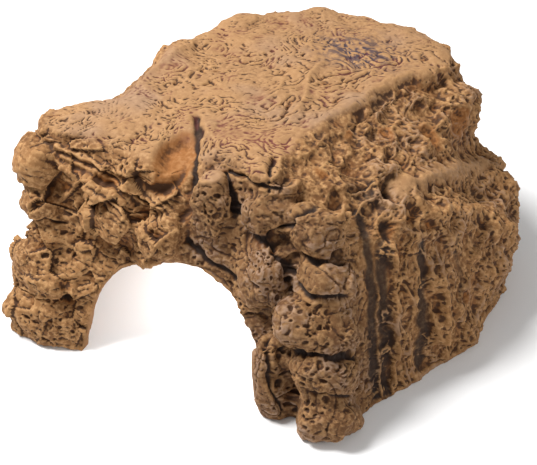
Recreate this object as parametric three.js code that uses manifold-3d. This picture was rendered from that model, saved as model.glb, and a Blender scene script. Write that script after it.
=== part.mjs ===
// Resin cave ornament for an aquarium: one hollow casting shaped like a rock outcrop.
// It has a flat top, a shelf at the front left, an arched doorway in the front wall, a pillar of
// rounded stones beside the doorway and an open underside.
// Units are millimetres. The doorway faces -Y, +X is to the right of it and +Z is up.
// The origin is the centre of the bounding box, at the level of the base.
import * as THREE from "three";
import { LoftGeometry } from "three/addons/geometries/LoftGeometry.js";
import { mergeVertices } from "three/addons/utils/BufferGeometryUtils.js";
import Module from "manifold-3d";

// Driving dimensions.
const TOP_HEIGHT = 109;
const WALL = 9;
const ROOF = 10;
const COLUMNS_PER_STATION = 3;
const OUTER_ROWS = 18;
const INNER_ROWS = 12;
const LUMP_DEPTH = 1.6;
const LUMP_SPACING = 17;
const STONE_DETAIL = 3;
const STONE_CUTS = 7;
const STONE_SQUARENESS = 3;
const CUT_DISTANCE = 0.9;
const BELOW_BASE = 20;
const DOOR_START_Y = -125;
const DOOR_DEPTH = 85;
const DOOR_SEGMENTS = 6;

// Outlines of the outer surface, from the base upwards. Each has sixteen stations that run
// counter-clockwise from the front left corner, and each station is x, y, z.
const OUTLINES = {
  base: [
    [-103, -92, 0], [-56, -88, 0], [-8, -84, 0], [42, -82, 0],
    [78, -78, 0], [88, -55, 0], [100, -29, 0], [114, 4, 0],
    [115, 48, 0], [103, 92, 0], [62, 119, 0], [0, 128, 0],
    [-58, 112, 0], [-95, 74, 0], [-110, 16, 0], [-112, -45, 0],
  ],
  belly: [
    [-99, -76, 40], [-52, -72, 40], [-6, -70, 40], [38, -68, 40],
    [68, -62, 40], [82, -47, 40], [96, -24, 42], [110, 8, 44],
    [115, 52, 46], [101, 93, 46], [59, 119, 44], [0, 127, 42],
    [-57, 110, 42], [-93, 72, 42], [-107, 16, 42], [-109, -40, 42],
  ],
  ledge: [
    [-98, -62, 68], [-52, -62, 68], [-6, -59, 70], [30, -54, 74],
    [54, -47, 80], [70, -34, 82], [83, -11, 83], [95, 18, 76],
    [93, 58, 60], [84, 94, 60], [52, 117, 66], [0, 124, 68],
    [-54, 106, 68], [-87, 68, 68], [-100, 16, 68], [-104, -35, 68],
  ],
  step: [
    [-94, -57, 80], [-50, -56, 80], [-4, -53, 82], [28, -47, 85],
    [48, -39, 89], [61, -27, 91], [72, -6, 91], [82, 24, 85],
    [82, 62, 71], [75, 94, 71], [47, 116, 76], [0, 122, 78],
    [-52, 104, 78], [-84, 66, 78], [-96, 14, 78], [-100, -33, 79],
  ],
  shoulder: [
    [-88, -49, 92], [-48, -52, 92], [-3, -46, 95], [26, -40, 97],
    [42, -31, 98], [51, -17, 99], [59, 5, 99], [66, 34, 98],
    [78, 68, 90], [75, 94, 89], [46, 117, 92], [-2, 121, 94],
    [-50, 101, 94], [-79, 62, 94], [-88, 14, 94], [-92, -26, 92],
  ],
  rim: [
    [-72, -40, 98], [-44, -44, 99], [-8, -36, 104], [22, -34, 105],
    [35, -26, 105], [41, -8, 105], [46, 16, 105], [53, 43, 105],
    [64, 76, 105], [61, 97, 105], [41, 114, 105], [-9, 119, 105],
    [-48, 100, 105], [-73, 64, 105], [-80, 20, 104], [-80, -14, 101],
  ],
  top: [
    [-58, -26, 103], [-36, -28, 104], [-8, -27, 108], [20, -27, TOP_HEIGHT],
    [28, -21, TOP_HEIGHT], [33, -6, TOP_HEIGHT], [38, 16, TOP_HEIGHT], [45, 42, TOP_HEIGHT],
    [55, 74, TOP_HEIGHT], [53, 92, TOP_HEIGHT], [35, 108, TOP_HEIGHT], [-10, 113, TOP_HEIGHT],
    [-44, 94, TOP_HEIGHT], [-67, 60, TOP_HEIGHT], [-75, 20, 108], [-74, -6, 105],
  ],
};

// The shelf at the front left, which overhangs the doorway wall.
const SHELF = {
  underside: [
    [-90, -48, 85], [-62, -48, 85], [-36, -50, 85], [-26, -44, 85],
    [-30, -26, 85], [-46, -6, 85], [-80, -14, 85], [-96, -30, 85],
  ],
  lowerEdge: [
    [-98, -54, 92], [-64, -53, 90], [-36, -57, 90], [-22, -49, 91],
    [-26, -28, 93], [-46, 4, 93], [-86, -10, 93], [-106, -30, 93],
  ],
  upperEdge: [
    [-98, -50, 100], [-64, -49, 99], [-36, -53, 99], [-23, -45, 100],
    [-26, -28, 102], [-46, 4, 104], [-84, -12, 102], [-104, -32, 100],
  ],
  surface: [
    [-88, -43, 104], [-62, -41, 103], [-38, -43, 102], [-30, -38, 102],
    [-34, -24, 105], [-48, -4, 106], [-74, -14, 105], [-92, -31, 103],
  ],
};

// The doorway as x, z: an arch that is higher and steeper on its left side.
const DOORWAY = [
  [-60, -BELOW_BASE], [37, -BELOW_BASE], [36, 6], [32, 22], [24, 37],
  [12, 49], [-8, 56], [-28, 53], [-46, 45], [-57, 30], [-60, 8],
];

// Stones on the outside. Each is a rounded block: centre, half sizes, tilts about Y and Z in degrees.
const STONES = [
  // The pillar to the right of the doorway, from the rim down to its foot.
  { at: [-3, -49, 80], half: [12, 12, 23], tilt: [-6, -8] },
  { at: [18, -36, 100], half: [16, 10, 8], tilt: [4, 0] },
  { at: [23, -46, 87], half: [13, 11, 12], tilt: [10, 10] },
  { at: [48, -44, 85], half: [15, 13, 13], tilt: [12, 20] },
  { at: [28, -58, 63], half: [14, 13, 17], tilt: [-8, -10] },
  { at: [57, -54, 67], half: [14, 13, 11], tilt: [8, 25] },
  { at: [59, -63, 47], half: [21, 17, 14], tilt: [14, 20] },
  { at: [67, -72, 29], half: [18, 16, 13], tilt: [22, 18] },
  { at: [71, -78, 9], half: [17, 15, 14], tilt: [10, 12] },
  { at: [42, -76, 17], half: [10, 14, 24], tilt: [-10, 0] },
  // The column to the left of the doorway.
  { at: [-98, -51, 83], half: [13, 13, 12], tilt: [-8, -20] },
  { at: [-95, -60, 67], half: [13, 12, 9], tilt: [10, -15] },
  { at: [-91, -65, 53], half: [12, 12, 9], tilt: [-12, -10] },
  { at: [-89, -69, 34], half: [21, 17, 16], tilt: [8, -12] },
  { at: [-86, -80, 8], half: [22, 15, 17], tilt: [-6, -8] },
  // Pointed rocks in the recess over the doorway.
  { at: [-53, -57, 68], half: [14, 12, 15], tilt: [14, 20] },
  { at: [-27, -58, 66], half: [12, 12, 12], tilt: [-16, -12] },
  // Slanting strata under the shelf.
  { at: [-74, -49, 85], half: [24, 10, 5], tilt: [16, 4] },
  { at: [-52, -54, 78], half: [24, 9, 4], tilt: [22, 6] },
];

const wasm = await Module();
wasm.setup();

// A repeatable number from 0 to 1 for a whole-number seed.
function scatter(seed) {
  const wave = Math.sin(seed * 127.1 + 311.7) * 43758.5453;
  return wave - Math.floor(wave);
}

// Smooth lumps over the outer surface, from -1 to 1.
function lumps(point) {
  const { x, y, z } = point.clone().divideScalar(LUMP_SPACING);
  const broad = Math.sin(x * 2.1 + Math.sin(z * 1.7)) * Math.cos(y * 1.9 + z * 0.8);
  const fine = Math.sin(x * 4.3 - y * 3.7 + z * 2.9);
  return 0.65 * broad + 0.35 * fine;
}

// Samples a closed outline between its stations.
function closedRing(stations) {
  const points = stations.map(([x, y, z]) => new THREE.Vector3(x, y, z));
  const curve = new THREE.CatmullRomCurve3(points, true, "centripetal");
  const count = stations.length * COLUMNS_PER_STATION;
  return Array.from({ length: count }, (_, i) => curve.getPoint(i / count));
}

// Runs a smooth curve up through the rings at every column and samples it in rows.
function rowsThrough(rings, rows) {
  const columns = rings[0].map(
    (_, i) => new THREE.CatmullRomCurve3(rings.map((ring) => ring[i]), false, "centripetal"),
  );
  return Array.from({ length: rows + 1 }, (_, row) =>
    columns.map((curve) => curve.getPoint(row / rows)),
  );
}

// Moves a station towards the middle of the plan and down.
function inset([x, y, z], inward, drop) {
  const reach = Math.hypot(x, y - 15);
  const scale = (reach - inward) / reach;
  return [x * scale, (y - 15) * scale + 15, z - drop];
}

// Turns a closed three.js geometry into a solid.
function solid(geometry) {
  geometry.deleteAttribute("normal");
  geometry.deleteAttribute("uv");
  const facets = geometry.index ? geometry.toNonIndexed() : geometry;
  const merged = mergeVertices(facets, 1e-3);
  const triVerts = new Uint32Array(merged.index.array);
  return new wasm.Manifold(
    new wasm.Mesh({ numProp: 3, vertProperties: merged.attributes.position.array, triVerts }),
  );
}

// The rock mass: a loft through the outlines, with lumps everywhere except on the flat top.
function rockMass() {
  const rows = rowsThrough(Object.values(OUTLINES).map(closedRing), OUTER_ROWS);
  for (const point of rows.flat()) {
    const outward = new THREE.Vector3(point.x, point.y - 15, 0).normalize();
    const fade = Math.min(1, (TOP_HEIGHT - point.z) / 12);
    point.addScaledVector(outward, lumps(point) * LUMP_DEPTH * fade);
  }
  return solid(new LoftGeometry(rows, { capStart: true, capEnd: true }));
}

// The shelf: a short loft with rounded edges.
function shelf() {
  const rows = rowsThrough(Object.values(SHELF).map(closedRing), 8);
  return solid(new LoftGeometry(rows, { capStart: true, capEnd: true }));
}

// The hollow inside: it follows the outer surface at the thickness of the wall and the roof.
function chamber() {
  const { base, belly, ledge, step, shoulder, rim, top } = OUTLINES;
  const rings = [
    base.map((p) => inset(p, WALL, BELOW_BASE)),
    base.map((p) => inset(p, WALL, 0)),
    belly.map((p) => inset(p, WALL, 0)),
    ledge.map((p) => inset(p, WALL, 6)),
    step.map((p) => inset(p, WALL + 1, 8)),
    shoulder.map((p) => inset(p, WALL + 1, ROOF)),
    rim.map((p) => inset(p, WALL + 2, ROOF + 1)),
    top.map((p) => inset(p, WALL + 2, ROOF + 1)),
  ];
  const rows = rowsThrough(rings.map(closedRing), INNER_ROWS);
  return solid(new LoftGeometry(rows, { capStart: true, capEnd: true }));
}

// The doorway: an arch pushed back through the front wall into the chamber.
function doorway() {
  const outline = new THREE.Shape();
  const [start, ...rest] = DOORWAY.map(([x, z]) => new THREE.Vector2(x, z));
  outline.moveTo(start.x, start.y);
  outline.lineTo(rest[0].x, rest[0].y);
  outline.splineThru(rest.slice(1));
  const arch = new THREE.ExtrudeGeometry(outline, {
    depth: DOOR_DEPTH,
    bevelEnabled: false,
    curveSegments: DOOR_SEGMENTS * 4,
  });
  arch.rotateX(Math.PI / 2);
  arch.translate(0, DOOR_START_Y + DOOR_DEPTH, 0);
  return solid(arch);
}

// Pushes a point of the unit ball outwards, towards a cube with rounded corners.
function squareOff(point) {
  const n = STONE_SQUARENESS;
  const sum = Math.abs(point.x) ** n + Math.abs(point.y) ** n + Math.abs(point.z) ** n;
  return point.divideScalar(sum ** (1 / n));
}

// One stone: a rounded cube pressed flat by a few planes, then scaled and turned.
function stone({ at, half, tilt }, index) {
  const ball = new THREE.IcosahedronGeometry(1, STONE_DETAIL);
  const corners = ball.attributes.position;
  const point = new THREE.Vector3();
  const facing = new THREE.Vector3();
  for (let i = 0; i < corners.count; i++) {
    squareOff(point.fromBufferAttribute(corners, i));
    for (let cut = 0; cut < STONE_CUTS; cut++) {
      const seed = index * 40 + cut * 3;
      facing.set(scatter(seed) - 0.5, scatter(seed + 1) - 0.5, scatter(seed + 2) - 0.5).normalize();
      const above = point.dot(facing) - CUT_DISTANCE;
      if (above > 0) point.addScaledVector(facing, -above);
    }
    corners.setXYZ(i, point.x, point.y, point.z);
  }
  ball.scale(...half);
  ball.rotateY(THREE.MathUtils.degToRad(tilt[0]));
  ball.rotateZ(THREE.MathUtils.degToRad(tilt[1]));
  ball.translate(...at);
  return solid(ball);
}

// A slab much larger than the ornament, used to cut everything level at the base.
function underground() {
  const block = new THREE.BoxGeometry(400, 400, 100);
  block.translate(0, 0, -50);
  return solid(block);
}

// Joins the outside, opens the chamber, the doorway and the underside, and keeps one body.
function caveSolid() {
  let outside = rockMass().add(shelf());
  for (const [index, entry] of STONES.entries()) outside = outside.add(stone(entry, index));
  const hollow = outside.subtract(chamber()).subtract(doorway()).subtract(underground());
  return hollow.decompose().sort((a, b) => b.volume() - a.volume())[0];
}

function caveGeometry() {
  const { vertProperties, triVerts } = caveSolid().getMesh();
  const geometry = new THREE.BufferGeometry();
  geometry.setAttribute("position", new THREE.Float32BufferAttribute(vertProperties, 3));
  geometry.setIndex(Array.from(triVerts));
  geometry.computeBoundingBox();
  const { min, max } = geometry.boundingBox;
  geometry.translate(-(min.x + max.x) / 2, -(min.y + max.y) / 2, -min.z);
  geometry.computeVertexNormals();
  return geometry;
}

const resin = new THREE.MeshStandardMaterial({ color: 0xa87b48, roughness: 0.85, metalness: 0 });

const caveShell = new THREE.Mesh(caveGeometry(), resin);
caveShell.name = "cave_shell";

const caveOrnament = new THREE.Group();
caveOrnament.name = "resin_cave_ornament";
caveOrnament.add(caveShell);

export default caveOrnament;
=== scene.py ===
"""Looks of the resin cave ornament: a hollow rock casting with a pitted, cracked surface,
painted tan with a dark wash in the hollows and a violet grey dry brush on the edges.

The frame's shell gives the large forms. This script remeshes a copy of it, carves the rock
texture into the copy and gives it one procedural paint material, which also holds painted
shade in the broad hollows and on the pillar, and a painted highlight on the ledge.
Lengths in the carving functions are millimetres, in the frame's own axes."""

import math

import bmesh
import bpy
import numpy as np
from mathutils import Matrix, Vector
from mathutils.bvhtree import BVHTree


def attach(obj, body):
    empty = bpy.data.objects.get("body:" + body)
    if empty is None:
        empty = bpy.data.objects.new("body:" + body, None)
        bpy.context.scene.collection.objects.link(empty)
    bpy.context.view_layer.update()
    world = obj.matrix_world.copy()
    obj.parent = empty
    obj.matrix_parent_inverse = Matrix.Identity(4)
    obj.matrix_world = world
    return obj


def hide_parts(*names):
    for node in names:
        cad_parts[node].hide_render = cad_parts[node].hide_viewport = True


MM = 1000.0
VOXEL = 0.00135
UV_MAP = "OFBake"
MASK = np.uint64(0xFFFFFFFF)

# How far a vertex may be sunk along its normal: the first part freely, the rest held back.
FREE_DEPTH = 2.6
HELD_DEPTH_WALL = 2.4
HELD_DEPTH_ROOF = 5.8

# The texture fades out over this height above the floor, so that the base stays level.
FOOT_FADE = 2.5
FOOT_LEVEL = 0.8

# Places inside the chamber, in metres. A wall that one of them sees is a wall of the chamber.
CHAMBER_PLACES = ((0.0, 0.0), (-0.04, 0.03), (0.04, 0.03), (0.0, 0.06))

# How many times values are averaged with their neighbours, for each use.
SPREAD_UNWRAP = 25
SPREAD_NORMAL = 8
SPREAD_FORM = 90
SPREAD_LIP = 40
SPREAD_RELIEF = 6
SPREAD_BROAD = 60

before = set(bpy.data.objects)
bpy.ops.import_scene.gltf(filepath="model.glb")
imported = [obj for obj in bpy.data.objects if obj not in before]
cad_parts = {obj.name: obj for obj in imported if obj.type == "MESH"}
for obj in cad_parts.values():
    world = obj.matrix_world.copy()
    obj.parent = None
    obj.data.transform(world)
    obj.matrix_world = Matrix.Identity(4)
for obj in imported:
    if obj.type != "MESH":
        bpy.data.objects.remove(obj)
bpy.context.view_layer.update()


# Noise.


def cell_value(ix, iy, iz, seed):
    """A repeatable number from 0 to 1 for each whole-number cell."""
    h = (ix.astype(np.int64) * 73856093) ^ (iy.astype(np.int64) * 19349663)
    h = (h ^ (iz.astype(np.int64) * 83492791) ^ (seed * 668265263)).astype(np.uint64) & MASK
    h = ((h ^ (h >> np.uint64(15))) * np.uint64(2246822519)) & MASK
    h = ((h ^ (h >> np.uint64(13))) * np.uint64(3266489917)) & MASK
    return (h ^ (h >> np.uint64(16))).astype(np.float64) / float(0xFFFFFFFF)


def noise(p, seed):
    """Smooth noise from -1 to 1."""
    base = np.floor(p).astype(np.int64)
    t = p - base
    t = t * t * t * (t * (t * 6 - 15) + 10)
    total = np.zeros(len(p))
    for corner in range(8):
        dx, dy, dz = corner & 1, corner >> 1 & 1, corner >> 2
        value = cell_value(base[:, 0] + dx, base[:, 1] + dy, base[:, 2] + dz, seed)
        weight = (t[:, 0] if dx else 1 - t[:, 0]) * (t[:, 1] if dy else 1 - t[:, 1])
        total += value * weight * (t[:, 2] if dz else 1 - t[:, 2])
    return total * 2 - 1


TURN = np.array([[0.80, 0.60, 0.0], [-0.48, 0.64, 0.60], [0.36, -0.48, 0.80]])


def layered(p, size, seed, octaves=4):
    """Several sizes of noise added together."""
    total, weight, q = np.zeros(len(p)), 1.0, p / size
    for octave in range(octaves):
        total += weight * noise(q, seed + octave)
        q = (q @ TURN) * 2.03 + 5.7
        weight *= 0.5
    return total / 1.6


def ridged(p, size, seed, octaves=3):
    """Noise with thin bright lines, from 0 to 1."""
    total, weight, reach, q = np.zeros(len(p)), 1.0, 0.0, p / size
    for octave in range(octaves):
        total += weight * (1 - np.abs(noise(q, seed + octave))) ** 4
        reach += weight
        q = (q @ TURN) * 2.1 + 3.3
        weight *= 0.55
    return total / reach


def cells(p, size, seed):
    """Scattered cells: distance to the nearest point, its own number, and the height of a tilted
    plane through it. Distances are in cells."""
    q = p / size
    base = np.floor(q).astype(np.int64)
    near = np.full(len(p), 9.0)
    number = np.zeros(len(p))
    lean = np.zeros(len(p))
    # Each cell is compared with itself and its 26 neighbours.
    for k in range(27):
        at = base + np.array([k % 3 - 1, k // 3 % 3 - 1, k // 9 - 1])
        jitter = np.stack([cell_value(at[:, 0], at[:, 1], at[:, 2], seed + i) for i in range(3)], 1)
        away = q - at - 0.1 - 0.8 * jitter
        d = np.linalg.norm(away, axis=1)
        closer = d < near
        number = np.where(closer, jitter[:, 0], number)
        lean = np.where(closer, np.sum(away * (2 * jitter - 1), axis=1), lean)
        near = np.where(closer, d, near)
    return near, number, lean


def creases(p, size, seed, sharpness=6):
    """Narrow wandering lines, 1 along the line and 0 away from it."""
    return (1 - np.abs(noise(p / size, seed))) ** sharpness


def pits(p, size, seed, share, floor=0.5):
    """Irregular holes. share is the part of the cells that have one, and floor is how much of
    the radius is at full depth."""
    near, number, _ = cells(p, size, seed)
    radius = 0.24 + 0.3 * number
    return step(radius, radius * floor, near) * (number > 1 - share)


def bowls(p, size, seed, low, high):
    """Rounded bowls that meet in sharp crests, in the cells whose number is above low."""
    near, number, _ = cells(p, size, seed)
    return np.clip(1 - (near / 0.6) ** 2, 0, 1) * step(low, high, number)


def split_faces(p, size, seed):
    """Tilted planes, one for each cell, that break off sharply where cells meet."""
    return cells(p, size, seed)[2]


def step(low, high, x):
    """Smooth change from 0 at low to 1 at high. low may be above high."""
    t = np.clip((x - low) / (high - low), 0, 1)
    return t * t * (3 - 2 * t)


# Geometry helpers.


def coordinates(mesh):
    flat = np.empty(len(mesh.vertices) * 3)
    mesh.vertices.foreach_get("co", flat)
    return flat.reshape(-1, 3)


def edge_ends(mesh):
    flat = np.empty(len(mesh.edges) * 2, dtype=np.int64)
    mesh.edges.foreach_get("vertices", flat)
    return flat.reshape(-1, 2)


def spread(values, edges, times):
    """Averages each vertex with its neighbours."""
    count = len(values)
    degree = np.bincount(edges.ravel(), minlength=count)
    columns = values.reshape(count, -1)
    for _ in range(times):
        smoothed = np.empty_like(columns)
        for c in range(columns.shape[1]):
            total = np.bincount(edges[:, 0], columns[edges[:, 1], c], count)
            total += np.bincount(edges[:, 1], columns[edges[:, 0], c], count)
            smoothed[:, c] = 0.5 * columns[:, c] + 0.5 * total / degree
        columns = smoothed
    return columns.reshape(values.shape)


def normals_of(mesh):
    flat = np.empty(len(mesh.vertices) * 3)
    mesh.vertex_normals.foreach_get("vector", flat)
    return flat.reshape(-1, 3)


def unit(v):
    return v / np.maximum(np.linalg.norm(v, axis=1, keepdims=True), 1e-9)


def remeshed(node):
    """An even, softened copy of the frame's shell."""
    mesh = node.data.copy()
    bm = bmesh.new()
    bm.from_mesh(mesh)
    bmesh.ops.remove_doubles(bm, verts=bm.verts, dist=1e-6)
    bm.to_mesh(mesh)
    bm.free()
    copy = bpy.data.objects.new("shell_copy", mesh)
    bpy.context.scene.collection.objects.link(copy)
    even = copy.modifiers.new("even", "REMESH")
    even.mode = "VOXEL"
    even.voxel_size = VOXEL
    soften = copy.modifiers.new("soften", "SMOOTH")
    soften.factor = 0.5
    soften.iterations = 8
    ready = copy.evaluated_get(bpy.context.evaluated_depsgraph_get())
    result = bpy.data.meshes.new_from_object(ready)
    bpy.data.objects.remove(copy)
    result.materials.clear()
    return result


def inside_mask(mesh):
    """1 on the walls of the chamber, 0 on the outside."""
    points = coordinates(mesh)
    faces = [tuple(f.vertices) for f in mesh.polygons]
    tree = BVHTree.FromPolygons([Vector(c) for c in points], faces)
    lamps = [Vector((x, y, 0.03)) for x, y in CHAMBER_PLACES]
    normals = normals_of(mesh)
    seen = np.zeros(len(points))
    for i, (c, n) in enumerate(zip(points, normals)):
        start = Vector(c + n * 0.0005)
        for lamp in lamps:
            toward = lamp - start
            if toward.dot(Vector(n)) <= 0:
                continue
            if tree.ray_cast(start, toward.normalized(), toward.length)[0] is None:
                seen[i] = 1
                break
    return seen


def give_uv(mesh, smooth_places):
    """Unwraps the mesh in a softened shape, so that the paint bakes into large patches."""
    places = coordinates(mesh)
    mesh.vertices.foreach_set("co", smooth_places.ravel())
    mesh.update()
    holder = bpy.data.objects.new("unwrap", mesh)
    bpy.context.scene.collection.objects.link(holder)
    bpy.ops.object.select_all(action="DESELECT")
    holder.select_set(True)
    bpy.context.view_layer.objects.active = holder
    mesh.uv_layers.active = mesh.uv_layers.new(name=UV_MAP)
    bpy.ops.object.mode_set(mode="EDIT")
    bpy.ops.mesh.select_all(action="SELECT")
    bpy.ops.uv.smart_project(angle_limit=1.15, island_margin=0.004, scale_to_bounds=True)
    bpy.ops.object.mode_set(mode="OBJECT")
    bpy.data.objects.remove(holder)
    mesh.vertices.foreach_set("co", places.ravel())
    mesh.update()


def refine_outside(mesh, inside):
    """Splits the faces of the outside in four, and leaves the chamber as it is."""
    bm = bmesh.new()
    bm.from_mesh(mesh)
    layer = bm.verts.layers.float.new("inside")
    bm.verts.ensure_lookup_table()
    for vert, value in zip(bm.verts, inside):
        vert[layer] = value
    edges = [e for e in bm.edges if min(v[layer] for v in e.verts) < 0.5]
    bmesh.ops.subdivide_edges(bm, edges=edges, cuts=1, use_grid_fill=True)
    bmesh.ops.triangulate(bm, faces=[f for f in bm.faces if len(f.verts) > 4])
    result = np.array([v[layer] for v in bm.verts])
    bm.verts.layers.float.remove(layer)
    bm.to_mesh(mesh)
    bm.free()
    mesh.update()
    return result


# Features of the rock. Each place is x, y, z in millimetres, and each path is a line of places.

CREVICES = [
    # Narrow clefts: depth, half width, path. First the gap between the shelf and the flat top.
    (3.4, 2.2, [(-34, -30, 107), (-25, -47, 104), (-21, -57, 100), (-19, -66, 90)]),
    # The slit between the tall stone and its neighbour.
    (4.5, 1.6, [(-4, -57, 99), (4, -64, 92), (11, -72, 82)]),
    # Joints between the stones of the pillar.
    (3.0, 1.2, [(-3, -56, 101), (7, -60, 102), (17, -61, 102), (26, -58, 102)]),
    (2.7, 1.2, [(16, -46, 109), (18, -54, 108), (21, -60, 100)]),
    (3.5, 1.8, [(30, -71, 86), (38, -66, 95), (48, -54, 93)]),
    (3.5, 1.8, [(14, -72, 79), (25, -72, 81), (30, -71, 86)]),
    (3.5, 1.6, [(30, -74, 79), (38, -74, 72), (44, -79, 67)]),
    (3.2, 1.5, [(44, -76, 79), (52, -72, 78), (60, -64, 76)]),
    (3.5, 1.8, [(44, -79, 67), (56, -83, 67), (70, -76, 65)]),
    (3.2, 1.6, [(-15, -76, 70), (-5, -79, 62), (11, -80, 58), (19, -86, 53)]),
    (3.5, 1.6, [(42, -93, 36), (56, -96, 43), (70, -91, 41), (78, -76, 34)]),
    (3.2, 1.5, [(46, -99, 22), (59, -104, 27), (71, -101, 27), (80, -80, 16)]),
    (3.0, 1.5, [(34, -86, 47), (36, -97, 38), (46, -104, 22), (52, -103, 5)]),
    # Joints of the left column.
    (2.2, 0.9, [(-102, -84, 62), (-90, -88, 64), (-82, -82, 61)]),
    (1.8, 1.0, [(-96, -84, 76), (-88, -83, 71), (-80, -80, 66)]),
    (2.4, 1.4, [(-104, -92, 25), (-88, -98, 24), (-72, -98, 26)]),
    # Between the pillar and the right side.
    (3.2, 3.4, [(60, -44, 90), (69, -52, 72), (78, -62, 50), (84, -69, 27), (88, -72, 4)]),
]

GROOVES = [
    # Upright channels of the right side: depth, half width, path.
    (3.0, 4.2, [(72, -40, 84), (76, -50, 68), (81, -57, 45), (86, -63, 22), (89, -66, 2)]),
    (3.0, 3.6, [(88, -29, 70), (92, -35, 52), (97, -40, 32), (100, -44, 6)]),
    (1.8, 3.0, [(101, -10, 66), (106, -15, 48), (109, -19, 28)]),
    (1.6, 3.0, [(106, 20, 60), (111, 16, 42), (112, 12, 20)]),
    (1.8, 3.5, [(103, 50, 52), (107, 50, 34), (107, 48, 10)]),
    (2.0, 4.0, [(66, 90, 90), (70, 96, 60), (72, 98, 20)]),
    (1.8, 4.0, [(20, 104, 92), (22, 108, 60), (22, 110, 15)]),
    (2.2, 5.0, [(-30, 97, 92), (-32, 101, 60), (-34, 102, 15)]),
    (1.8, 4.0, [(-92, 40, 88), (-100, 42, 55), (-102, 42, 12)]),
    (2.0, 4.5, [(-102, -12, 80), (-106, -14, 50), (-110, -16, 12)]),
]

HOLLOWS = [
    # Smooth scooped hollows: depth, half sizes along x, y and z, centre.
    (7.5, (11, 18, 17), (-32, -54, 98)),
    (5.0, (8, 8, 14), (67, 27, 93)),
    (3.5, (6, 6, 9), (50, 9, 100)),
    (4.5, (7, 9, 13), (75, 50, 90)),
    (2.6, (3, 5, 5), (38, -6, 107)),
    (2.8, (6, 4, 6), (38, -38, 103)),
    (4.0, (5, 6, 9), (75, -42, 84)),
    (3.2, (3, 3, 3), (29, -72, 80)),
    (2.6, (3, 4, 4), (88, -22, 77)),
    (3.0, (3, 4, 7), (92, -32, 60)),
    (2.4, (3, 4, 6), (108, -14, 33)),
    (2.6, (5, 4, 5), (-74, -98, 35)),
    (3.0, (10, 5, 4), (-62, -72, 87)),
    (2.4, (6, 4, 4), (-85, -76, 78)),
    (2.5, (7, 6, 8), (48, 100, 70)),
    (2.8, (8, 6, 8), (-64, 84, 72)),
    (2.5, (6, 8, 9), (-104, 14, 62)),
]

BULGES = [
    # Rounded swellings of the outline: height, half sizes along x, y and z, centre.
    (5.0, (16, 14, 13), (-105, -74, 84)),
    (4.5, (20, 26, 20), (84, 66, 92)),
    (3.5, (16, 16, 20), (-84, 22, 100)),
    (3.5, (16, 16, 20), (-66, 66, 100)),
    (3.0, (14, 14, 20), (-28, 100, 100)),
]

RIDGES = [
    # Raised lines: height, half width, path.
    (1.1, 2.0, [(-1, 44, 109), (-2, 29, 109), (6, 8, 109), (9, -12, 109)]),
    (0.8, 1.6, [(-12, 20, 109), (-9, 6, 109), (-12, -6, 109)]),
    (1.0, 5.0, [(-60, 62, 107), (-40, 78, 108), (-8, 92, 109), (26, 88, 109), (40, 74, 109)]),
    (2.6, 1.4, [(-92, -70, 96), (-68, -70, 92), (-50, -71, 87), (-30, -72, 80)]),
    (2.2, 1.2, [(-88, -70, 91), (-64, -71, 88), (-46, -72, 82), (-34, -73, 77)]),
    (2.6, 1.8, [(79, -43, 76), (84, -50, 55), (88, -57, 32), (91, -60, 4)]),
    (2.4, 1.7, [(94, -22, 66), (100, -27, 42), (104, -33, 18)]),
    (1.2, 1.8, [(104, -22, 34), (108, -10, 40), (113, 6, 46)]),
    (1.1, 1.6, [(101, -34, 24), (106, -24, 28), (111, -12, 32)]),
]

# The smooth crest of the lower tier on the right, and the brink of the flat top. The paint gives
# both a painted highlight.
LEDGE = [
    (0.8, 4.0, [(21, -12, 109), (26, 4, 109), (33, 29, 109), (39, 46, 109), (50, 61, 109)]),
    (1.0, 5.0, [(70, -20, 92), (74, -9, 90), (78, 6, 86), (81, 26, 77), (83, 46, 67), (88, 64, 59)]),
]

FLOW_CRACKS = [
    (1.2, 0.8, [(4, 27, 109), (12, 36, 109), (19, 44, 109), (33, 58, 109)]),
    (0.9, 0.7, [(11, 22, 109), (21, 38, 109), (25, 44, 109)]),
]


def path_distance(p, n, path):
    """Distance, measured along the surface, to a line of joined straight pieces."""
    nearest = np.full(len(p), 1e9)
    for a, b in zip(path, path[1:]):
        a, b = np.array(a, float), np.array(b, float)
        along = b - a
        t = np.clip((p - a) @ along / (along @ along), 0, 1)
        away = p - a - t[:, None] * along
        away -= 0.85 * np.sum(away * n, axis=1, keepdims=True) * n
        nearest = np.minimum(nearest, np.linalg.norm(away, axis=1))
    return nearest


def lines(p, n, entries, wobble):
    """Depth of every line in a list, strongest where lines meet."""
    total = np.zeros(len(p))
    for depth, width, path in entries:
        low = np.min(path, axis=0) - 12
        high = np.max(path, axis=0) + 12
        near = np.all((p > low) & (p < high), axis=1)
        d = path_distance(p[near] + wobble[near], n[near], path)
        total[near] = np.maximum(total[near], depth * np.exp(-((d / width) ** 2)))
    return total


def spots(p, n, entries, wobble):
    """Depth of every rounded hollow, or height of every bulge, in a list."""
    total = np.zeros(len(p))
    for depth, half, centre in entries:
        away = p + wobble - np.array(centre)
        away -= 0.7 * np.sum(away * n, axis=1, keepdims=True) * n
        r = np.linalg.norm(away / np.array(half), axis=1)
        total = np.maximum(total, depth * step(1.15, 0.3, r))
    return total


# The right-hand brink of the flat top: x at each y.
BRINK_Y = (-60, -36, -15, 4, 29, 46, 61, 90)
BRINK_X = (20, 19, 22, 28, 35, 42, 54, 58)


def past_brink(p):
    """How far a place lies to the right of the brink of the flat top."""
    return p[:, 0] - np.interp(p[:, 1], BRINK_Y, BRINK_X) + 2.5 * noise(p / 9, 35)


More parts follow.
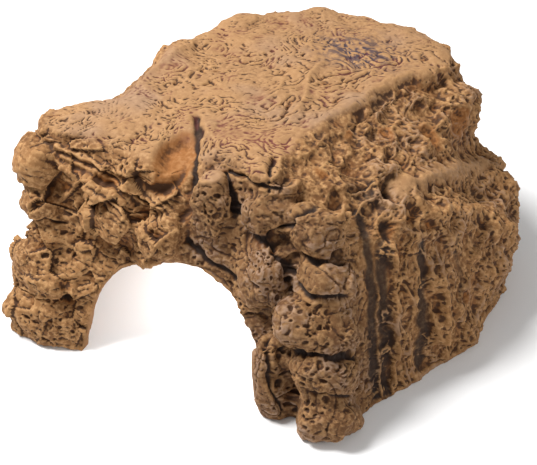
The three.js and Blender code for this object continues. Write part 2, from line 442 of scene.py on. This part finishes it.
def regions(p, n):
    """How much each vertex belongs to each kind of rock surface."""
    flat = step(0.72, 0.93, n[:, 2])
    top = flat * step(98, 102, p[:, 2]) * step(3, -1, past_brink(p))
    pillar_x = step(-20, -10, p[:, 0]) * step(92, 80, p[:, 0])
    pillar = pillar_x * step(-50, -60, p[:, 1] + 0.18 * (p[:, 0] - 30)) * (1 - top)
    right = step(46, 62, p[:, 0] - 0.35 * (p[:, 1] + 45)) * (1 - pillar) * (1 - top)
    right = np.maximum(right, step(30, 42, p[:, 0]) * step(-45, -30, p[:, 1]) * (1 - top))
    left_front = step(-18, -30, p[:, 0]) * step(-40, -52, p[:, 1]) * (1 - top)
    recess = left_front * step(-78, -68, p[:, 0]) * step(96, 92, p[:, 2]) * step(44, 54, p[:, 2])
    return {"top": top, "pillar": pillar, "right": right, "left": left_front, "recess": recess}


def carve(p, n, form):
    """Height to add to each vertex along its normal, in millimetres, and what the paint follows."""
    where = regions(p, n)
    top, pillar, left, recess = where["top"], where["pillar"], where["left"], where["recess"]
    walls = 1 - top
    sides = np.clip(walls - pillar - left, 0, 1) * (0.5 + 0.5 * where["right"])
    wobble = np.stack([noise(p / 6.5, 40 + i) for i in range(3)], 1) * 1.8
    wobble += np.stack([noise(p / 2.4, 50 + i) for i in range(3)], 1) * 0.4
    bent = p + wobble

    # The stones meet in narrow joints, and the edges of the flat top are crisp.
    height = -0.75 * np.minimum(form, 0) * pillar
    height += 0.5 * np.clip(form, 0, 3) * (1 - pillar) * step(84, 96, p[:, 2])
    height -= 4.2 * step(0, 10, past_brink(p)) * step(0.6, 0.9, n[:, 2]) * step(96, 102, p[:, 2])

    # Broad lumps, then eroded rock with rounded hollows and sharp crests between them.
    height += 3.2 * layered(p, 26, 1) * (0.35 + 0.65 * walls)
    height += 1.5 * layered(p, 11, 5, 2) * (walls + 1.6 * sides)
    height += 2.0 * (ridged(bent, 12, 9, 2) - 0.45) * sides
    crests = ridged(bent * np.array([1, 1, 0.6]), 6.5, 15, 1) - 0.45
    height += 0.9 * crests * (0.8 * sides + 0.1 * left + 0.1 * pillar)
    height += 0.22 * layered(p, 2.6, 13, 2) * walls

    # The right side and the back are drawn out upright.
    flutes = ridged(p * np.array([1, 1, 0.2]) + wobble * 0.8, 8.0, 27, 1)
    height += 1.8 * (flutes - 0.45) * sides
    height -= 5.0 * bowls(p * np.array([1, 1, 0.55]) + wobble, 14, 23, 0.2, 0.5) * sides
    height -= 2.2 * bowls(p * np.array([1, 1, 0.6]) + wobble, 7.5, 21, 0.4, 0.7) * sides

    # Split faces, in the recess beside the doorway and on the left.
    large = split_faces(p + wobble * 0.3, 17, 33)
    height += 6.0 * large * (0.6 * left + 0.6 * recess)
    small = split_faces(p * np.array([1, 1, 1.3]) + wobble * 0.4, 7, 37)
    height += 3.0 * small * (0.25 * left + 0.15 * recess + 0.2 * pillar + 0.2 * sides)

    # Irregular pits, in patches. The upper face of the left column is nearly smooth.
    plain = left * step(-78, -88, p[:, 0]) * step(58, 66, p[:, 2])
    patches = step(-0.3, 0.25, layered(p, 13, 65, 2))
    squashed = p * np.array([1, 1, 1.35]) + wobble * 1.2
    holes = 1.9 * pits(squashed, 4.8, 61, 0.45)
    holes = np.maximum(holes, 1.3 * pits(squashed, 3.1, 71, 0.4))
    holed = 0.4 * sides + pillar * (0.25 + 0.6 * patches) + 0.7 * left * patches * (1 - recess)
    height -= holes * holed * (1 - 0.7 * plain)

    # Creases between the lumps.
    creased = 1.9 * creases(bent, 10, 83, 8) + 0.9 * creases(bent, 4.6, 87, 6)
    height -= creased * (0.2 * sides + 0.6 * pillar + 0.3 * left * (1 - plain))

    # The flat top: short wrinkles that run with the flow of the rock, and small dents.
    angle = 0.5 + 1.6 * layered(p * np.array([1, 1, 0]), 34, 91, 2)
    u = bent[:, 0] * np.cos(angle) + bent[:, 1] * np.sin(angle)
    v = -bent[:, 0] * np.sin(angle) + bent[:, 1] * np.cos(angle)
    drawn = np.stack([u * 0.7, v, bent[:, 2] * 0.3], 1) + 1.3 * wobble
    rough = 0.2 + 0.8 * step(-0.35, 0.3, layered(p, 17, 99, 2))
    wrinkles = 1.7 * creases(drawn, 4.6, 95, 5) + 1.0 * creases(drawn, 2.6, 97, 4)
    wrinkles *= step(-0.5, 0.3, noise(p / 5, 98))
    dents = 1.5 * pits(drawn, 4.2, 101, 0.5, 0.2)
    height -= (wrinkles + dents) * rough * top
    height += 1.1 * layered(p, 9, 103, 3) * top

    # Thin layers under the shelf.
    dip = p[:, 2] + 0.33 * p[:, 0] + 0.15 * p[:, 1] + 0.8 * wobble[:, 0]
    sheets = np.abs(np.sin(dip * 1.1)) ** 0.7
    height += 1.1 * (sheets - 0.5) * recess * step(70, 80, p[:, 2])
    height += 0.4 * (sheets - 0.5) * left

    # The features with a place of their own. The texture is fainter on the ledge and in hollows.
    ledge = lines(p, n, LEDGE, wobble)
    height = height * (1 - 0.75 * ledge) + 1.8 * ledge
    scoops = spots(p, n, HOLLOWS, wobble * 0.5)
    height *= 1 - 0.65 * np.clip(scoops / 2.5, 0, 1)
    joints = np.maximum(lines(p, n, CREVICES, wobble * 0.8), lines(p, n, GROOVES, wobble * 0.9))
    height += lines(p, n, RIDGES, wobble * 0.4) - joints - scoops
    height += spots(p, n, BULGES, wobble)
    height -= lines(p, n, FLOW_CRACKS, wobble * 0.3)

    # Nothing cuts through the shell: the wall is thinner than the roof.
    upward = step(0.45, 0.8, n[:, 2])
    more = HELD_DEPTH_WALL + (HELD_DEPTH_ROOF - HELD_DEPTH_WALL) * upward
    held = -FREE_DEPTH - more * np.tanh((-FREE_DEPTH - height) / more)
    return np.where(height < -FREE_DEPTH, held, height), joints, scoops, ledge


def make_rock(node):
    """The finished rock: an even copy of the shell, unwrapped, carved and marked for painting."""
    mesh = remeshed(node)
    inside = inside_mask(mesh)
    edges = edge_ends(mesh)
    inside = step(0.35, 0.75, spread(inside, edges, 3))
    give_uv(mesh, spread(coordinates(mesh), edges, SPREAD_UNWRAP))
    inside = refine_outside(mesh, inside)

    edges = edge_ends(mesh)
    base = spread(coordinates(mesh), edges, 2)
    mesh.vertices.foreach_set("co", base.ravel())
    mesh.update()
    n = unit(spread(normals_of(mesh), edges, SPREAD_NORMAL))
    p = base * MM
    outside = 1 - inside
    form = np.sum((p - spread(p, edges, SPREAD_FORM)) * n, axis=1)
    height, joints, scoops, ledge = carve(p, n, form)
    # The lip of the doorway is smoother than the rock round it.
    lip = step(0.4, 0.8, spread(outside, edges, SPREAD_LIP))
    height = height * outside * (0.3 + 0.7 * lip) + 0.5 * layered(p, 9, 7, 3) * inside

    foot = step(0.0, FOOT_FADE, p[:, 2])
    places = p + n * height[:, None] * (0.25 + 0.75 * foot)[:, None]
    places[:, 2] = np.maximum(places[:, 2], 0)
    level = p[:, 2] < FOOT_LEVEL
    places[level, 2] = np.maximum(p[level, 2], 0)
    store_paint(mesh, places, n, edges, (joints, scoops, ledge), outside)
    mesh.vertices.foreach_set("co", (places / MM).ravel())
    mesh.update()
    for face in mesh.polygons:
        face.use_smooth = True
    rock = bpy.data.objects.new("cave_rock", mesh)
    bpy.context.scene.collection.objects.link(rock)
    return rock


def store_paint(mesh, places, n, edges, features, outside):
    """Writes what the paint follows: hollows and edges at two sizes, and where each tint lies."""
    fine = np.sum((places - spread(places, edges, SPREAD_RELIEF)) * n, axis=1)
    broad = np.sum((places - spread(places, edges, SPREAD_BROAD)) * n, axis=1)
    where = regions(places, n)
    joints, scoops, ledge = features
    x, y = places[:, 0], places[:, 1]
    # A round patch below the right brink of the flat top, where the paint turns deep brown.
    dark = np.exp(-((np.linalg.norm(places - np.array([61, -31, 92]), axis=1) / 11) ** 2))
    patch = np.exp(-(((x - 10) / 22) ** 2 + ((y - 62) / 16) ** 2))
    front_edge = np.exp(-(((y + 36) / 8) ** 2)) * step(-30, -16, x) * step(34, 26, x)
    sheets = {
        "relief": fine,
        "form": broad,
        "joints": np.clip(joints / 3, 0, 1) * outside,
        "scoops": np.clip(scoops / 3, 0, 1) * outside,
        "ledge": ledge,
        "dark": dark,
        "top": where["top"],
        "pillar": where["pillar"],
        "right": where["right"],
        "outside": outside,
        "blue_patch": patch * where["top"],
        "red_patch": front_edge * where["top"],
    }
    for name, values in sheets.items():
        layer = mesh.attributes.new(name, "FLOAT", "POINT")
        layer.data.foreach_set("value", values.astype(np.float32))


# Paint.


class Paint:
    """A small helper that adds and joins shader nodes."""

    def __init__(self, name):
        self.material = bpy.data.materials.new(name)
        self.material.use_nodes = True
        self.tree = self.material.node_tree
        self.shader = self.tree.nodes["Principled BSDF"]

    def put(self, socket, value):
        if isinstance(value, bpy.types.NodeSocket):
            self.tree.links.new(value, socket)
        else:
            socket.default_value = value

    def attribute(self, name):
        node = self.tree.nodes.new("ShaderNodeAttribute")
        node.attribute_name = name
        return node.outputs["Fac"]

    def place(self):
        return self.tree.nodes.new("ShaderNodeTexCoord").outputs["Object"]

    def noise(self, scale, detail=4.0, rough=0.55, stretch=None):
        node = self.tree.nodes.new("ShaderNodeTexNoise")
        node.inputs["Scale"].default_value = scale
        node.inputs["Detail"].default_value = detail
        node.inputs["Roughness"].default_value = rough
        where = self.place()
        if stretch:
            mapping = self.tree.nodes.new("ShaderNodeMapping")
            mapping.inputs["Scale"].default_value = stretch
            self.tree.links.new(where, mapping.inputs["Vector"])
            where = mapping.outputs["Vector"]
        self.tree.links.new(where, node.inputs["Vector"])
        return node.outputs["Fac"]

    def math(self, operation, a, b):
        node = self.tree.nodes.new("ShaderNodeMath")
        node.operation = operation
        self.put(node.inputs[0], a)
        self.put(node.inputs[1], b)
        return node.outputs["Value"]

    def times(self, a, b):
        return self.math("MULTIPLY", a, b)

    def minus(self, a, b):
        return self.math("SUBTRACT", a, b)

    def span(self, value, low, high):
        """0 at low and 1 at high. low may be above high."""
        node = self.tree.nodes.new("ShaderNodeMapRange")
        node.interpolation_type = "SMOOTHSTEP"
        flip = low > high
        self.put(node.inputs["Value"], value)
        node.inputs["From Min"].default_value = min(low, high)
        node.inputs["From Max"].default_value = max(low, high)
        node.inputs["To Min"].default_value = 1.0 if flip else 0.0
        node.inputs["To Max"].default_value = 0.0 if flip else 1.0
        return node.outputs["Result"]

    def mix(self, amount, a, b, blend="MIX"):
        node = self.tree.nodes.new("ShaderNodeMix")
        node.data_type = "RGBA"
        node.blend_type = blend
        self.put(node.inputs[0], amount)
        self.put(node.inputs[6], a)
        self.put(node.inputs[7], b)
        return node.outputs[2]


def srgb(r, g, b):
    """A colour given in the usual 0 to 255 display numbers."""
    return tuple(((c / 255 + 0.055) / 1.055) ** 2.4 for c in (r, g, b)) + (1.0,)


TAN = srgb(136, 96, 57)
TAN_LIGHT = srgb(168, 127, 82)
TAN_DARK = srgb(106, 70, 37)
SAND = srgb(154, 117, 80)
AMBER = srgb(134, 78, 26)
WASH_AND_SHADE = srgb(60, 37, 21)
DEEP_BROWN = srgb(36, 23, 16)
VIOLET = srgb(138, 116, 102)
SLATE = srgb(50, 44, 58)
MAROON = srgb(98, 48, 42)
BARE_RESIN = srgb(128, 92, 58)


def paint_material():
    m = Paint("painted_resin")
    relief, form = m.attribute("relief"), m.attribute("form")
    joints, scoops, top = m.attribute("joints"), m.attribute("scoops"), m.attribute("top")
    pillar, right = m.attribute("pillar"), m.attribute("right")
    mottle = m.noise(38.0, 3.0)
    grain = m.noise(420.0, 3.0, 0.6)
    speck = m.noise(900.0, 2.0, 0.6)

    colour = m.mix(m.span(mottle, 0.38, 0.64), TAN_DARK, TAN)
    colour = m.mix(m.span(grain, 0.42, 0.7), colour, TAN_LIGHT)
    # Painted highlight: the ledge crest and the brink are painted paler, and the flat top gets a
    # paler sand tone that is partly painted highlight.
    pale_top_and_ledge_highlight = m.math("MAXIMUM", top, m.attribute("ledge"))
    colour = m.mix(m.times(pale_top_and_ledge_highlight, 0.7), colour, SAND)

    # A thin grey haze over parts of the flat top.
    haze = m.times(m.span(m.noise(22.0, 2.0), 0.48, 0.66), 0.35)
    colour = m.mix(m.times(top, haze), colour, VIOLET)

    # Amber stain that pools in the broad hollows.
    pooled = m.times(m.span(form, 0.0, -1.1), m.span(m.noise(45.0, 2.0), 0.36, 0.58))
    colour = m.mix(m.times(pooled, 0.75), colour, AMBER)
    colour = m.mix(m.times(m.span(scoops, 0.2, 1.0), 0.55), colour, AMBER)

    # Dark wash in the pits and cracks, and deepest in the joints and grooves. Painted shade darkens
    # the broad hollows and the whole pillar, and a round patch below the right brink is painted deep
    # brown.
    uneven = m.times(m.minus(grain, 0.5), 0.3)
    wash = m.span(m.math("ADD", relief, uneven), -0.01, -0.24)
    colour = m.mix(m.times(wash, 0.9), colour, WASH_AND_SHADE)
    # Painted shade: darker in the broad hollows, less on the flat top, and none in the scooped
    # hollows.
    shade = m.times(m.span(form, 0.3, -2.2), m.minus(0.7, m.times(top, 0.6)))
    colour = m.mix(m.times(shade, m.minus(1.0, scoops)), colour, WASH_AND_SHADE)
    # Painted shade: the whole pillar is painted darker.
    colour = m.mix(m.times(pillar, 0.42), colour, WASH_AND_SHADE)
    # Deep brown over a round patch below the right brink of the flat top, except on raised edges.
    dark_patch = m.times(m.attribute("dark"), m.span(relief, 0.3, -0.1))
    colour = m.mix(m.times(dark_patch, 0.8), colour, DEEP_BROWN)
    filled = m.times(m.span(joints, 0.25, 0.9), m.span(relief, 0.3, -0.05))
    colour = m.mix(m.times(filled, 0.9), colour, DEEP_BROWN)

    # Light dry brush on the raised edges, violet grey on the pillar and the right side.
    colour = m.mix(m.times(m.span(relief, 0.06, 0.34), 0.45), colour, TAN_LIGHT)
    streaks = m.span(m.noise(55.0, 3.0), 0.47, 0.62)
    tinted = m.times(m.math("MAXIMUM", pillar, m.times(right, 0.7)), streaks)
    tinted = m.times(tinted, m.span(relief, 0.0, 0.25))
    colour = m.mix(m.times(tinted, 0.6), colour, VIOLET)

    # Dark blue and maroon paint left in the wrinkles of the flat top.
    lined = m.span(relief, 0.06, -0.12)
    flecks = m.span(m.noise(300.0, 2.0, stretch=(0.5, 1.0, 1.0)), 0.5, 0.6)
    bluish = m.times(m.attribute("blue_patch"), m.math("MAXIMUM", lined, flecks))
    colour = m.mix(bluish, colour, SLATE)
    reddish = m.times(m.attribute("red_patch"), m.times(lined, 0.9))
    colour = m.mix(reddish, colour, MAROON)
    sparse = m.times(m.times(top, lined), m.span(m.noise(70.0, 2.0), 0.5, 0.62))
    colour = m.mix(m.times(sparse, 0.55), colour, MAROON)

    # The chamber isn't painted.
    colour = m.mix(m.attribute("outside"), BARE_RESIN, colour)

    bump = m.tree.nodes.new("ShaderNodeBump")
    bump.inputs["Strength"].default_value = 0.35
    bump.inputs["Distance"].default_value = 0.0006
    m.put(bump.inputs["Height"], m.math("ADD", grain, m.times(speck, 0.5)))
    m.put(m.shader.inputs["Normal"], bump.outputs["Normal"])
    m.put(m.shader.inputs["Base Color"], colour)
    rough = m.minus(0.86, m.times(m.span(grain, 0.4, 0.7), 0.16))
    m.put(m.shader.inputs["Roughness"], rough)
    m.shader.inputs["Specular IOR Level"].default_value = 0.3
    return m.material


# Stage. Lengths are metres, and powers are watts.

CAMERA_AZIMUTH = math.radians(27)
CAMERA_ELEVATION = math.radians(38)
CAMERA_DISTANCE = 0.662
CAMERA_TARGET = Vector((-0.0022, -0.0164, 0.037))
FLOOR_HALF_SIZE = 4.0
FLOOR_GAP = 0.0002


def make_camera():
    back = Vector((
        math.sin(CAMERA_AZIMUTH) * math.cos(CAMERA_ELEVATION),
        -math.cos(CAMERA_AZIMUTH) * math.cos(CAMERA_ELEVATION),
        math.sin(CAMERA_ELEVATION),
    ))
    data = bpy.data.cameras.new("camera")
    data.lens = 85
    data.sensor_width = 36
    camera = bpy.data.objects.new("camera", data)
    camera.location = CAMERA_TARGET + back * CAMERA_DISTANCE
    camera.rotation_mode = "QUATERNION"
    camera.rotation_quaternion = (-back).to_track_quat("-Z", "Y")
    bpy.context.scene.collection.objects.link(camera)
    bpy.context.scene.camera = camera


def make_floor():
    bm = bmesh.new()
    bmesh.ops.create_grid(bm, x_segments=2, y_segments=2, size=FLOOR_HALF_SIZE)
    mesh = bpy.data.meshes.new("floor")
    bm.to_mesh(mesh)
    bm.free()
    floor = bpy.data.objects.new("floor", mesh)
    floor.location.z = -FLOOR_GAP
    bpy.context.scene.collection.objects.link(floor)
    paper = Paint("paper")
    paper.shader.inputs["Base Color"].default_value = (0.86, 0.86, 0.86, 1)
    paper.shader.inputs["Roughness"].default_value = 0.9
    mesh.materials.append(paper.material)
    return floor


def make_light(name, place, size, power, target=(0, 0, 0.04)):
    data = bpy.data.lights.new(name, "AREA")
    data.shape = "DISK"
    data.size = size
    data.energy = power
    light = bpy.data.objects.new(name, data)
    light.location = place
    light.rotation_mode = "QUATERNION"
    light.rotation_quaternion = (Vector(target) - Vector(place)).to_track_quat("-Z", "Y")
    bpy.context.scene.collection.objects.link(light)


def make_surroundings():
    world = bpy.data.worlds.new("studio")
    world.use_nodes = True
    sky = world.node_tree.nodes["Background"]
    sky.inputs["Color"].default_value = (1.0, 1.0, 1.0, 1)
    sky.inputs["Strength"].default_value = 0.42
    bpy.context.scene.world = world
    bpy.context.scene.view_settings.view_transform = "Standard"
    # The last lamp brightens the floor that is seen through the doorway.
    make_light("key", (-0.62, -0.2, 1.12), 0.5, 27.0)
    make_light("fill", (1.2, -0.25, 0.6), 1.0, 5.0)
    make_light("under_roof", (0.0, -0.01, 0.082), 0.05, 0.2, (0.0, -0.02, 0.0))


rock = make_rock(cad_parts["cave_shell"])
rock.data.materials.append(paint_material())
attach(rock, "root")
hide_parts("cave_shell")

make_camera()
make_surroundings()
make_floor()
